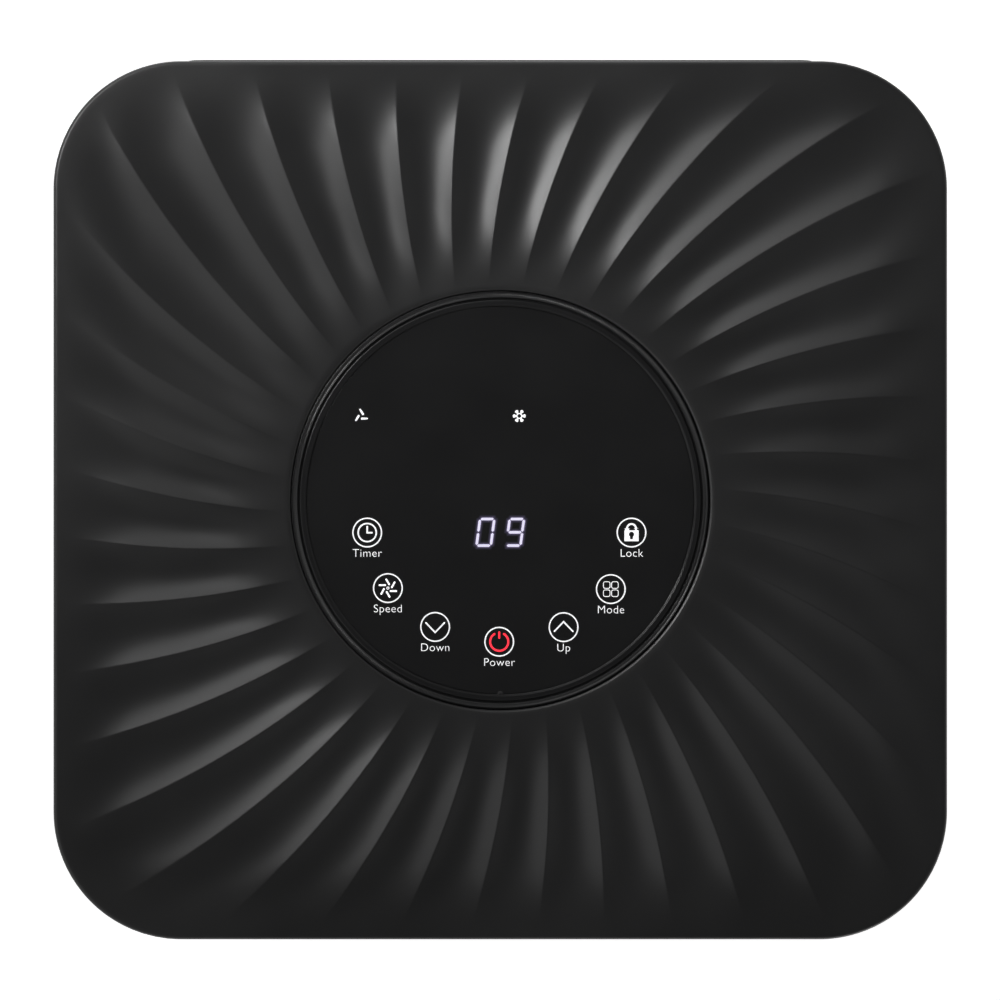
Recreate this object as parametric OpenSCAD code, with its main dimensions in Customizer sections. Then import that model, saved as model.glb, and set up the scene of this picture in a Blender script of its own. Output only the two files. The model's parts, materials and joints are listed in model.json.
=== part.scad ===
// Portable air conditioner: a square tower on four casters, with a fluted top cover and a round touch panel.
// Millimetres. The origin is on the floor under the middle of the plan; the front faces -Y and +Z is up.

/* [Casing] */
// Width over the top cover
body_w = 350; // [348:1:354]
// Depth over the top cover
body_d = 344; // [342:1:348]
// Height to the ridges of the top cover
body_h = 700; // [698:1:712]
// Plan radius of the corners
corner_r = 50; // [49:1:52]
// Thickness of the casing walls
wall = 3; // [2.6:0.2:3]
// How far the side walls stand in from the top cover
casing_inset = 2; // [2:0.2:2.6]

/* [Top cover flutes] */
// Number of spiral flutes
flute_count = 40; // [32:1:44]
// Depth of a flute, from ridge to valley
flute_depth = 2.6; // [1.6:0.1:2.8]
// Turn of a flute for each millimetre outwards, in degrees
flute_twist = 0.0843; // [0.05:0.005:0.11]
// Direction of the first ridge where it leaves the panel, in degrees
flute_phase = 3.24; // [0:0.5:9]

/* [Control panel] */
// Radius of the round opening in the top cover
panel_hole_r = 82.4; // [82.4:0.1:83]
// Radius of the glass
glass_r = 75.9; // [75.4:0.1:75.9]
// Radius at which the touch keys lie round the panel
key_circle_r = 55; // [50:1:58]

/* [Air outlet] */
// Angle of the swing blades from closed, as stored
blade_rest = 65; // [60:1:70]
// Chord of a swing blade
blade_chord = 25.4; // [24:0.2:25.4]
// Distance between the upright vanes
vane_pitch = 38; // [34:0.5:38]

/* [Exhaust] */
// Inner radius of the exhaust port, for a 130 mm hose
exhaust_r = 65; // [60:0.5:65]

/* [Casters] */
// Radius of the caster wheels
caster_wheel_r = 18; // [17:0.5:18]
// Distance from swivel to axle
caster_trail = 16; // [14:1:16]

/* [Hidden] */
$fn = 64;
eps = 0.01;

charcoal = [0.13, 0.13, 0.135];
soft_black = [0.08, 0.08, 0.085];
gloss_black = [0.03, 0.03, 0.035];
grey_plastic = [0.35, 0.35, 0.36];
copper = [0.72, 0.43, 0.25];
steel = [0.7, 0.7, 0.72];

// Side walls
shell_w = body_w - 2 * casing_inset;
shell_d = body_d - 2 * casing_inset;
shell_r = corner_r - casing_inset;
lip_gap = 0.4;
lip_w = shell_w - 2 * (wall + lip_gap);
lip_d = shell_d - 2 * (wall + lip_gap);
lip_r = shell_r - wall - lip_gap;
rear_y = shell_d / 2;
tray_bottom = 46;
floor_t = 4;
tray_top = 90;
tray_lip_top = 110;
shell_bottom = 91;
shell_top = body_h - 36;
seam_gap = 0.6;
seam_y = 120;

// Top cover
skirt_h = 34;
cover_t = 5;
edge_round = 3;
steps_per_flute = 4;
cover_steps = flute_count * steps_per_flute;
cover_fractions = [0.04, 0.1, 0.18, 0.28, 0.38, 0.48, 0.58, 0.68, 0.77, 0.85, 0.92];
// The flutes swell from the level band round the panel and sink again towards the level edge
flute_rise = 1;
flat_z = body_h - flute_rise;
flute_start = [83, 122];
flute_end = [4, 34];

// Touch panel; drops are measured from the ridges of the cover
trim_top = 0.8;
glass_drop = 2.2;
glass_t = 3;
board_drop = 15;
board_t = 1.6;
carrier_drop = 24;
key_angles = [-166.6, -142, -117.4, -90, -62.6, -38, -13.4];

// Air outlet in the front
outlet_w = 256;
outlet_z = [546, 640];
outlet_wall = 2.5;
outlet_gap = 0.4;
outlet_edge = outlet_wall + outlet_gap;
outlet_depth = [-170, -118];
blade_y = -158;
blade_t = 2.4;
blade_len = 238;
blade_pins_z = [567, 593, 619];
crank_arm = 9;
crank_rest = 15;
crank_pin_r = 1.6;
blade_pin_r = 2;
fit = 0.06;
vane_y = -133;
vane_chord = 21;
vane_t = 1.8;
vane_count = 6;
vane_arm = 8;
vane_bottom = 556;

// Compressor, and where the cold and the liquid line pass the deck above it
compressor_xy = [-95, -75];
cold_xy = [-140, 68];
liquid_xy = [-132, 98];
foot_circle_r = 62;
foot_angles = [90, 210, 330];

// Air path behind the outlet
deck_z = 409;
deck_t = 3;
duct_wall = 2;
upper_axis = [0, 487];
upper_wheel_r = 50;
upper_scroll_y = [-15, 50];
lower_axis = [45, 184];
lower_wheel_r = 55;
lower_scroll_y = [25, 95];
shaft_r = 4;

// Rear face
exhaust_z = 335;
exhaust_duct_z = [262, 409];
coil_y = [114, 146];
coil_tube_y = 130;
coil_end_x = -110;
evaporator_z = [414, 634];
condenser_z = [70, 252];
coil_rows = 14;
grille_w = 250;
grille_y = [rear_y, rear_y + 6.4];
filter_y = [rear_y + 0.6, rear_y + 4.2];
upper_grille_z = [432, 640];
lower_grille_z = [104, 250];
rear_screws = [[112, 652], [-112, 652], [112, 418], [-112, 418], [112, 97], [-112, 97]];
screw_r = 2;
gland_xz = [-105, 285];
drain_xz = [[105, 285], [0, 68]];
drain_bore_r = 5;

// Hand grips in the sides
grip_w = 122;
grip_h = 46;
grip_z = 520;
grip_depth = 28;

// Casters
caster_xy = [[128, 124], [-128, 124], [128, -124], [-128, -124]];
caster_wheel_w = 16;
axle_r = 3;
stem_r = 5;

function clamp01(t) = min(1, max(0, t));
function smooth(t) = let (c = clamp01(t)) c * c * (3 - 2 * c);

// Distance from a point inside a rounded rectangle to its edge
function edge_distance(x, y, w, d, r) =
    let (qx = abs(x) - w / 2 + r, qy = abs(y) - d / 2 + r)
    r - norm([max(qx, 0), max(qy, 0)]) - min(max(qx, qy), 0);

// Distance from the middle to the edge of a rounded rectangle, in direction a
function outline_r(a, w, d, r) =
    let (c = abs(cos(a)), s = abs(sin(a)), cx = w / 2 - r, cy = d / 2 - r,
         side = w / 2 / max(c, 1e-6), end = d / 2 / max(s, 1e-6),
         b = cx * c + cy * s, arc = b + sqrt(max(0, b * b - cx * cx - cy * cy + r * r)))
    side * s <= cy ? side : end * c <= cx ? end : arc;

// Angle of sample i on a ring that is fraction t of the way out: the samples follow the flutes
function cover_angle(i, t, n = 4) =
    let (start = flute_phase + 360 * i / cover_steps)
    n == 0 ? start - flute_twist * t * (body_w / 2 - panel_hole_r)
        : start - flute_twist * t
            * (outline_r(cover_angle(i, t, n - 1), body_w, body_d, corner_r) - panel_hole_r);

// How deep the flutes are at a point, from 0 to 1
function flute_fade(x, y) =
    smooth((norm([x, y]) - flute_start[0]) / (flute_start[1] - flute_start[0]))
    * smooth((edge_distance(x, y, body_w, body_d, corner_r) - flute_end[0]) / (flute_end[1] - flute_end[0]));

function cover_point(i, t) =
    let (a = cover_angle(i, t), rim = outline_r(a, body_w, body_d, corner_r),
         r = panel_hole_r + t * (rim - panel_hole_r), x = r * cos(a), y = r * sin(a))
    [x, y, flat_z + flute_fade(x, y) * (flute_rise - flute_depth * abs(sin(180 * i / steps_per_flute)))];

// A point on the outline of the cover, moved in by inset
function rim_point(i, inset, z) =
    let (a = cover_angle(i, 1), r = outline_r(a, body_w - 2 * inset, body_d - 2 * inset, corner_r - inset))
    [r * cos(a), r * sin(a), z];

function hole_point(i, z) =
    let (a = cover_angle(i, 0)) [panel_hole_r * cos(a), panel_hole_r * sin(a), z];

module rounded_rect(w, d, r) {
    square([w - 2 * r, d], center = true);
    square([w, d - 2 * r], center = true);
    for (x = [-1, 1], y = [-1, 1]) translate([x * (w / 2 - r), y * (d / 2 - r)]) circle(r = r);
}

module plate(w, d, r, z0, z1) {
    translate([0, 0, z0]) linear_extrude(z1 - z0) rounded_rect(w, d, r);
}

module tube_wall(w, d, r, t, z0, z1) {
    difference() {
        plate(w, d, r, z0, z1);
        plate(w - 2 * t, d - 2 * t, r - t, z0 - 1, z1 + 1);
    }
}

// A box given by its lowest and highest corners
module block(lo, hi) {
    translate(lo) cube(hi - lo);
}

// A cylinder along +Y from y0 to y1, at [x, z]
module y_cylinder(xz, r, y0, y1) {
    translate([xz[0], y0, xz[1]]) rotate([-90, 0, 0]) cylinder(r = r, h = y1 - y0);
}

// A cylinder along +X from x0 to x1, at [y, z]
module x_cylinder(yz, r, x0, x1) {
    translate([x0, yz[0], yz[1]]) rotate([0, 90, 0]) cylinder(r = r, h = x1 - x0);
}

// A flat plate in the XZ plane with rounded corners, from y0 to y1
module rear_plate(w, z, r, y0, y1) {
    translate([0, y1, (z[0] + z[1]) / 2]) rotate([90, 0, 0])
        linear_extrude(y1 - y0) rounded_rect(w, z[1] - z[0], r);
}

// ---- Top ----

module top_cover() {
    color(charcoal)
    let (
        // Rings of points: up the hole, out over the flutes, round the edge, down the skirt and back inside
        steps = [for (i = [0:cover_steps - 1]) i],
        top = [for (t = cover_fractions) [for (i = steps) cover_point(i, t)]],
        round_edge = [for (a = [90, 60, 30, 0])
            [for (i = steps) rim_point(i, edge_round * (1 - cos(a)), flat_z - edge_round * (1 - sin(a)))]],
        rings = concat(
            [[for (i = steps) hole_point(i, body_h - cover_t)], [for (i = steps) hole_point(i, flat_z)]],
            top, round_edge,
            [[for (i = steps) rim_point(i, 0, body_h - skirt_h)],
             [for (i = steps) rim_point(i, wall, body_h - skirt_h)],
             [for (i = steps) rim_point(i, wall, body_h - cover_t)]]),
        count = len(rings))
    polyhedron(
        points = [for (ring = rings, p = ring) p],
        faces = [for (k = [0:count - 1], i = steps, half = [0, 1])
            let (j = (i + 1) % cover_steps, m = (k + 1) % count,
                 a = k * cover_steps + i, b = k * cover_steps + j,
                 c = m * cover_steps + j, d = m * cover_steps + i)
            half == 0 ? [a, b, c] : [a, c, d]]);
}

module trim_ring() {
    foot = flute_rise + 1.5 - carrier_drop;
    glass_seat = flute_rise - glass_drop - glass_t;
    color(gloss_black) translate([0, 0, flat_z]) rotate_extrude($fn = 128)
        polygon([[73, foot], [81.9, foot], [81.9, trim_top - 0.6], [81.6, trim_top], [79.5, trim_top],
            [79.2, trim_top - 0.3], [79, -0.8], [77.7, -0.8], [77.5, 0], [76.3, 0], [76, -0.4],
            [76, glass_seat], [73, glass_seat]]);
}

module touch_glass() {
    color(gloss_black) translate([0, 0, body_h - glass_drop - glass_t])
        cylinder(r = glass_r, h = glass_t, $fn = 128);
}

module display_module() {
    color(grey_plastic) difference() {
        block([-24, -22, body_h - board_drop], [24, -2, body_h - glass_drop - glass_t - 0.3]);
        for (x = [-6, 6]) translate([x, -12, body_h - 7]) cube([9, 14, 4], center = true);
    }
}

// Board with a spring contact soldered on under each touch key, which reaches up to the glass
module control_board() {
    color("darkgreen") translate([0, 0, body_h - board_drop]) {
        translate([0, 0, -board_t]) cylinder(r = 66, h = board_t);
        for (a = key_angles) rotate(a) translate([key_circle_r, 0, -eps]) difference() {
            cylinder(r = 4.5, h = board_drop - glass_drop - glass_t + eps);
            translate([0, 0, 1]) cylinder(r = 3.6, h = board_drop);
        }
    }
}

module panel_carrier() {
    color(grey_plastic) translate([0, 0, body_h]) difference() {
        union() {
            translate([0, 0, -carrier_drop - 2]) cylinder(r = 80, h = 3.5);
            for (a = [45:90:315]) rotate(a) translate([58, 0, -carrier_drop])
                cylinder(r = 4, h = carrier_drop - board_drop - board_t);
            for (a = [0:90:270]) rotate(a) translate([86, 0, -carrier_drop - 2]) cylinder(r = 8, h = 3.5);
        }
        for (a = [0:90:270]) rotate(a) translate([88, 0, -carrier_drop - 3]) cylinder(r = 2.2, h = 6);
    }
}

// Moulded frame that ties the casing panels together and holds the control panel
module top_frame() {
    color(grey_plastic) difference() {
        union() {
            tube_wall(lip_w, lip_d, lip_r, wall, body_h - 52, body_h - 8);
            plate(lip_w, lip_d, lip_r, body_h - 11, body_h - 8);
            for (a = [0:90:270]) rotate(a) translate([88, 0, body_h - carrier_drop + 1.5])
                cylinder(r = 6, h = carrier_drop - 10);
        }
        translate([0, 0, body_h - 12]) cylinder(r = 84, h = 6);
        for (p = rear_screws) y_cylinder(p, screw_r, rear_y - 20, rear_y + 1);
    }
}

// ---- Casing ----

// The end of the casing beyond the seams, with its rounded corners: side -1 is the front, 1 the rear
module casing_end(side) {
    intersection() {
        tube_wall(shell_w, shell_d, shell_r, wall, shell_bottom, shell_top);
        translate([-body_w, side > 0 ? seam_y + seam_gap : -body_d - seam_y - seam_gap, 0])
            cube([2 * body_w, body_d, body_h]);
    }
}

module front_shell() {
    color(charcoal) difference() {
        casing_end(-1);
        rear_plate(outlet_w, outlet_z, 6, -rear_y - 1, -rear_y + 2 * wall);
    }
}

// Flat side of the casing with the window for the hand grip: side 0 is the right, 180 the left
module side_panel(side) {
    color(charcoal) rotate(side) difference() {
        block([shell_w / 2 - wall, -seam_y, shell_bottom], [shell_w / 2, seam_y, shell_top]);
        translate([shell_w / 2 - 2 * wall, 0, grip_z]) rotate([90, 0, 90])
            linear_extrude(3 * wall) rounded_rect(grip_w + 0.6, grip_h + 0.6, 8.3);
    }
}

module left_panel() { side_panel(180); }
module right_panel() { side_panel(0); }

// Window behind a grille, with ribs across it that the filter lies against
module air_window(z) {
    difference() {
        rear_plate(grille_w - 24, [z[0] + 12, z[1] - 12], 5, rear_y - 2 * wall, rear_y + 1);
        for (x = [-70, 0, 70]) block([x - 2, rear_y - 3 * wall, z[0]], [x + 2, rear_y + 2, z[1]]);
    }
}

module rear_shell() {
    color(charcoal) difference() {
        casing_end(1);
        air_window(upper_grille_z);
        air_window(lower_grille_z);
        y_cylinder([0, exhaust_z], exhaust_r + 4.4, rear_y - 2 * wall, rear_y + 1);
        y_cylinder(gland_xz, 8.3, rear_y - 2 * wall, rear_y + 1);
        y_cylinder(drain_xz[0], 8.3, rear_y - 2 * wall, rear_y + 1);
        for (p = rear_screws) y_cylinder(p, screw_r + 0.3, rear_y - 2 * wall, rear_y + 1);
    }
}

module base_tray() {
    color(soft_black) difference() {
        union() {
            plate(shell_w, shell_d, shell_r, tray_bottom, tray_bottom + floor_t);
            tube_wall(shell_w, shell_d, shell_r, 2 * wall + lip_gap, tray_bottom, tray_top);
            tube_wall(lip_w, lip_d, lip_r, wall, tray_top - 6, tray_lip_top);
            // Rests under the condenser
            for (x = [-100, 100]) block([x - 5, coil_y[0], tray_bottom], [x + 5, coil_y[1], condenser_z[0] - 2]);
            for (p = caster_xy) translate([p[0], p[1], tray_bottom]) cylinder(r = 12, h = 20);
        }
        for (p = caster_xy) translate([p[0], p[1], tray_bottom - 1]) cylinder(r = stem_r + fit, h = 18);
        for (p = rear_screws) y_cylinder(p, screw_r, rear_y - 20, rear_y + 1);
        y_cylinder(drain_xz[1], 8.3, rear_y - 4 * wall, rear_y + 1);
    }
}

// Hand grip: a cup let into a side panel, open outwards, with a flange round its mouth
module grip_cup() {
    translate([shell_w / 2, 0, grip_z]) rotate([90, 0, 90]) difference() {
        union() {
            translate([0, 0, -grip_depth]) linear_extrude(grip_depth) rounded_rect(grip_w, grip_h, 8);
            linear_extrude(1.5) rounded_rect(grip_w + 12, grip_h + 12, 13);
        }
        translate([0, 0, -grip_depth + 2]) linear_extrude(grip_depth) rounded_rect(grip_w - 4, grip_h - 4, 6);
    }
}

module grip_cups() {
    color(soft_black) for (side = [0, 180]) rotate(side) grip_cup();
}

module casing_screws() {
    color(steel) for (p = rear_screws) difference() {
        union() {
            y_cylinder(p, screw_r - 0.05, rear_y - 8, rear_y + eps);
            y_cylinder(p, 4, rear_y, rear_y + 2);
        }
        for (a = [0, 90]) translate([p[0], rear_y + 1.6, p[1]]) rotate([0, a, 0])
            cube([4.4, 1.4, 0.9], center = true);
    }
}

// ---- Air outlet ----

module outlet_frame() {
    color(soft_black) difference() {
        union() {
            rear_plate(outlet_w - 2 * outlet_gap, outlet_z + [outlet_gap, -outlet_gap], 5.6,
                outlet_depth[0], outlet_depth[1]);
            rear_plate(outlet_w + 10, outlet_z + [-5, 5], 9, -rear_y - 2, -rear_y);
        }
        rear_plate(outlet_w - 2 * outlet_edge, outlet_z + [outlet_edge, -outlet_edge], 3,
            -rear_y - 3, outlet_depth[1] + 1);
        for (z = blade_pins_z) x_cylinder([blade_y, z], blade_pin_r + fit, -outlet_w, outlet_w);
        for (k = [1:vane_count]) translate([vane_x(k), vane_y, outlet_z[0] - 2]) cylinder(r = blade_pin_r + fit, h = 200);
    }
}

// Section of a blade or vane: flat, with round edges, thickening to the pivot
module blade_section(chord, t) {
    square([chord - t, t], center = true);
    for (s = [-1, 1]) translate([s * (chord - t) / 2, 0]) circle(d = t);
    circle(d = 2 * t);
}

module swing_blade(k) {
    z = blade_pins_z[k - 1];
    color(soft_black) {
        translate([0, blade_y, z]) rotate([blade_rest - 90, 0, 0]) rotate([90, 0, 90])
            translate([0, 0, -blade_len / 2]) linear_extrude(blade_len) blade_section(blade_chord, blade_t);
        x_cylinder([blade_y, z], blade_pin_r, -126.5, 126.5);
        // Crank at the right-hand end, which the link bar joins
        translate([blade_len / 2 - eps, blade_y, z]) rotate([90, 0, 90]) rotate(crank_rest) {
            cylinder(r = 4, h = 1.5);
            translate([0, -2.4, 0]) cube([crank_arm, 4.8, 1.5]);
            translate([crank_arm, 0, 0]) cylinder(r = 2.4, h = 1.5);
            translate([crank_arm, 0, 0]) cylinder(r = crank_pin_r, h = 5);
        }
    }
}

module swing_link() {
    x0 = blade_len / 2 + 2;
    y = blade_y + crank_arm * cos(crank_rest);
    crank_z = blade_pins_z + crank_arm * sin(crank_rest) * [1, 1, 1];
    color(grey_plastic) difference() {
        union() {
            block([x0, y - 2.4, crank_z[0]], [x0 + 2.4, y + 2.4, crank_z[2]]);
            for (z = crank_z) x_cylinder([y, z], 3, x0, x0 + 2.4);
        }
        for (z = crank_z) x_cylinder([y, z], crank_pin_r + fit, x0 - 1, x0 + 4);
    }
}

// Step motor on the outside of the frame, on the axis of the lowest blade
module swing_motor() {
    x0 = outlet_w / 2 - outlet_gap;
    color(steel) {
        x_cylinder([blade_y, blade_pins_z[0]], 6.5, x0 + 1 - eps, x0 + 11);
        block([x0, blade_y - 6.5, blade_pins_z[0] - 12], [x0 + 1, blade_y + 6.5, blade_pins_z[0] + 12]);
    }
}

function vane_x(k) = (k - (vane_count + 1) / 2) * vane_pitch;

module vane(k) {
    color(soft_black) translate([vane_x(k), vane_y, 0]) {
        translate([0, 0, vane_bottom]) linear_extrude(636 - vane_bottom) rotate(90) blade_section(vane_chord, vane_t);
        translate([0, 0, outlet_z[0] + outlet_gap + 0.3]) cylinder(r = blade_pin_r, h = 92.5);
        translate([-2, 0, vane_bottom - 1.5]) cube([4, vane_arm, 1.5 + eps]);
        translate([0, vane_arm, vane_bottom - 1.5]) cylinder(r = 2, h = 1.5 + eps);
        translate([0, vane_arm, vane_bottom - 6]) cylinder(r = crank_pin_r, h = 6);
    }
}

module vane_link() {
    z = vane_bottom - 5;
    y = vane_y + vane_arm;
    color(grey_plastic) difference() {
        union() {
            block([vane_x(1), y - 2.4, z], [vane_x(vane_count), y + 2.4, z + 2.4]);
            for (k = [1:vane_count]) translate([vane_x(k), y, z]) cylinder(r = 3, h = 2.4);
        }
        for (k = [1:vane_count]) translate([vane_x(k), y, z - 1]) cylinder(r = crank_pin_r + fit, h = 5);
    }
}

// ---- Cooling air: duct, blower and evaporator ----

module outlet_duct() {
    color(grey_plastic) difference() {
        union() {
            block([-124, outlet_depth[1], 563], [124, upper_scroll_y[1], 637]);
            // Flange against the back of the outlet frame
            rear_plate(outlet_w - 2 * outlet_gap, outlet_z + [outlet_gap, -outlet_gap], 5.6,
                outlet_depth[1], outlet_depth[1] + 2);
        }
        block([-122, outlet_depth[1] - 1, 565], [122, upper_scroll_y[1] - 2, 635]);
        block([upper_axis[0] + 12, upper_scroll_y[0] + 2, 560], [upper_axis[0] + 78, upper_scroll_y[1] - 2, 570]);
    }
}

// Spiral outline of a blower housing, growing towards its upward outlet between throat_x and r1
module scroll_outline(r0, r1, throat_x, top) {
    circle(r = r0);
    polygon([for (i = [0:36]) let (a = 90 + 7.5 * i, r = r0 + (r1 - r0) * i / 36) [r * cos(a), r * sin(a)]]);
    translate([throat_x, 0]) square([r1 - throat_x, top]);
}

// Housing on the axis [x, z] with its air inlet on the rear side; side -1 puts the outlet on the left
module scroll_housing(axis, side, r0, r1, y, top, inlet_r) {
    throat_x = 14;
    translate([axis[0], y[1], axis[1]]) rotate([90, 0, 0]) mirror([side < 0 ? 1 : 0, 0, 0]) difference() {
        linear_extrude(y[1] - y[0])
            scroll_outline(r0 + duct_wall, r1 + duct_wall, throat_x - duct_wall, top - axis[1]);
        translate([0, 0, duct_wall]) linear_extrude(y[1] - y[0] - 2 * duct_wall)
            scroll_outline(r0, r1, throat_x, top - axis[1] + 1);
        translate([0, 0, -1]) cylinder(r = inlet_r, h = duct_wall + 2);
        translate([0, 0, y[1] - y[0] - duct_wall - 1]) cylinder(r = 10, h = duct_wall + 2);
    }
}

// Drum wheel of many narrow blades between a back plate and a front ring
module blower_wheel(axis, r, y) {
    translate([axis[0], y[1], axis[1]]) rotate([90, 0, 0]) difference() {
        union() {
            for (i = [0:35]) rotate(10 * i) translate([r - 9, 0, 0.5]) rotate(28)
                translate([0, -0.5, 0]) cube([8, 1, y[1] - y[0] - 1]);
            translate([0, 0, y[1] - y[0] - 2]) cylinder(r = r, h = 2);
            difference() {
                cylinder(r = r, h = 2);
                translate([0, 0, -1]) cylinder(r = r - 10, h = 4);
            }
            translate([0, 0, (y[1] - y[0]) / 2]) cylinder(r = 9, h = (y[1] - y[0]) / 2);
        }
        translate([0, 0, -1]) cylinder(r = shaft_r + fit, h = y[1] - y[0] + 2);
    }
}

// A blower motor on a bracket that stands at height foot_z
module fan_motor(axis, r, y, shaft_end, foot_z) {
    block([axis[0] - 28, y[0] + 14, foot_z], [axis[0] + 28, y[0] + 18, axis[1] - r + 8]);
    block([axis[0] - 28, y[0] + 4, foot_z], [axis[0] + 28, y[0] + 18, foot_z + 2]);
    y_cylinder(axis, r, y[0], y[1] - 3);
    y_cylinder(axis, r + 6, y[1] - 3 - eps, y[1]);
    y_cylinder(axis, shaft_r, y[1] - eps, shaft_end);
}

module upper_scroll() {
    color(grey_plastic) scroll_housing(upper_axis, 1, 57, 76, upper_scroll_y, 563, 42);
}

module upper_blower() {
    color(soft_black) blower_wheel(upper_axis, upper_wheel_r, [upper_scroll_y[0] + 6, upper_scroll_y[1] - 6]);
}

module upper_motor() {
    color(steel) fan_motor(upper_axis, 34, [-78, upper_scroll_y[0]], upper_scroll_y[1] - 12, deck_z + deck_t);
}

// Height of tube n of a finned block, counted from the lowest
function tube_z(z, n) = z[0] + (z[1] - z[0]) * (n - 0.5) / coil_rows;

// A finned block with the return bends of its tubes; the lowest and highest tube end at the left
module finned_coil(z) {
    block([-108, coil_y[0], z[0]], [108, coil_y[1], z[1]]);
    for (side = [-1, 1]) block([side * 109 - 1, coil_y[0] - 4, z[0] - 2], [side * 109 + 1, coil_y[1] + 2, z[1] + 2]);
    pitch = (z[1] - z[0]) / coil_rows;
    for (side = [0, 180], row = [(side == 0 ? 1 : 2):2:coil_rows - 1])
        translate([0, coil_tube_y, z[0] + pitch * row]) rotate(side) translate([110 - eps, 0, 0]) rotate([90, 0, 0])
            rotate(-90) rotate_extrude(angle = 180) translate([pitch / 2, 0]) circle(r = 3.5, $fn = 24);
}

module evaporator() {
    color(steel) finned_coil(evaporator_z);
}

module divider_deck() {
    color(grey_plastic) difference() {
        union() {
            plate(lip_w - 1, lip_d - 1, lip_r - 0.5, deck_z, deck_z + deck_t);
            // Condensate tray under the evaporator
            block([-125, 104, deck_z + 1], [125, 156, deck_z + 9]);
            for (x = [-112, 112]) block([x - 6, 155, deck_z + 1], [x + 6, rear_y - wall - 0.4, 425]);
        }
        block([-123, 106, deck_z + deck_t], [123, 154, 430]);
        for (p = rear_screws) y_cylinder(p, screw_r, rear_y - 12, rear_y);
        translate([cold_xy[0], cold_xy[1], deck_z - 1]) cylinder(r = 12, h = 6);
        translate([liquid_xy[0], liquid_xy[1], deck_z - 1]) cylinder(r = 5, h = 6);
    }
}

// ---- Heat rejection: compressor, condenser, blower and exhaust ----

// Blower housing, and the duct that takes its air to the exhaust port
module lower_scroll() {
    z = exhaust_duct_z;
    color(grey_plastic) {
        scroll_housing(lower_axis, -1, 62, 82, lower_scroll_y, z[0] + eps, 46);
        difference() {
            block([-73, lower_scroll_y[0] + 2, z[0]], [73, 148, z[1]]);
            block([-71, lower_scroll_y[0] + 4, z[0] + 2], [71, 146, z[1] - 2]);
            block([lower_axis[0] - 80, lower_scroll_y[0] + 4, z[0] - 1],
                [lower_axis[0] - 16, lower_scroll_y[1] - 3, z[0] + 3]);
            y_cylinder([0, exhaust_z], exhaust_r + 2, 140, 150);
        }
    }
}

module lower_blower() {
    color(soft_black) blower_wheel(lower_axis, lower_wheel_r, [lower_scroll_y[0] + 6, lower_scroll_y[1] - 6]);
}

module lower_motor() {
    color(steel) fan_motor(lower_axis, 38, [-45, lower_scroll_y[0]], lower_scroll_y[1] - 12, tray_bottom + floor_t);
}

module condenser() {
    color(steel) finned_coil(condenser_z);
}

module exhaust_port() {
    color(charcoal) difference() {
        union() {
            y_cylinder([0, exhaust_z], exhaust_r + 4, 148, grille_y[1]);
            y_cylinder([0, exhaust_z], exhaust_r + 14, rear_y, rear_y + 2.4);
        }
        y_cylinder([0, exhaust_z], exhaust_r, 140, 190);
    }
}

module compressor() {
    color(gloss_black) {
        translate([compressor_xy[0], compressor_xy[1], 84]) cylinder(r = 50, h = 170);
        intersection() {
            translate([compressor_xy[0], compressor_xy[1], 254 - eps]) cylinder(r = 50, h = 40);
            translate([compressor_xy[0], compressor_xy[1], 224]) sphere(r = 58);
        }
        translate([compressor_xy[0], compressor_xy[1], 80]) linear_extrude(4 + eps) difference() {
            union() {
                circle(r = 52);
                for (a = foot_angles) rotate(a) {
                    translate([0, -13]) square([foot_circle_r, 26]);
                    translate([foot_circle_r, 0]) circle(r = 13);
                }
            }
            for (a = foot_angles) rotate(a) translate([foot_circle_r, 0]) circle(r = 4.2);
        }
        // Suction accumulator at the side
        translate([-22, -75, 130]) cylinder(r = 18, h = 120);
        block([-48, -80, 180], [-30, -70, 190]);
    }
}

// Rubber feet on studs that carry the compressor
module compressor_feet() {
    color("dimgray") translate([compressor_xy[0], compressor_xy[1], tray_bottom + floor_t])
        for (a = foot_angles) rotate(a) translate([foot_circle_r, 0]) {
            cylinder(r = 11, h = 30);
            cylinder(r = 4, h = 40);
        }
}

// A run of tube along the axes through points, with a brazed elbow at each corner
module pipe_run(points, r) {
    for (i = [0:len(points) - 2]) let (
        p = points[i], q = points[i + 1], axis = abs(q[0] - p[0]) > 0 ? 0 : abs(q[1] - p[1]) > 0 ? 1 : 2,
        start = [for (k = [0:2]) min(p[k], q[k])], len = norm(q - p))
        translate(start) rotate(axis == 0 ? [0, 90, 0] : axis == 1 ? [-90, 0, 0] : [0, 0, 0])
            cylinder(r = r, h = len, $fn = 32);
    for (i = [1:len(points) - 2]) translate(points[i]) sphere(r = r + 0.8, $fn = 32);
}

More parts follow.
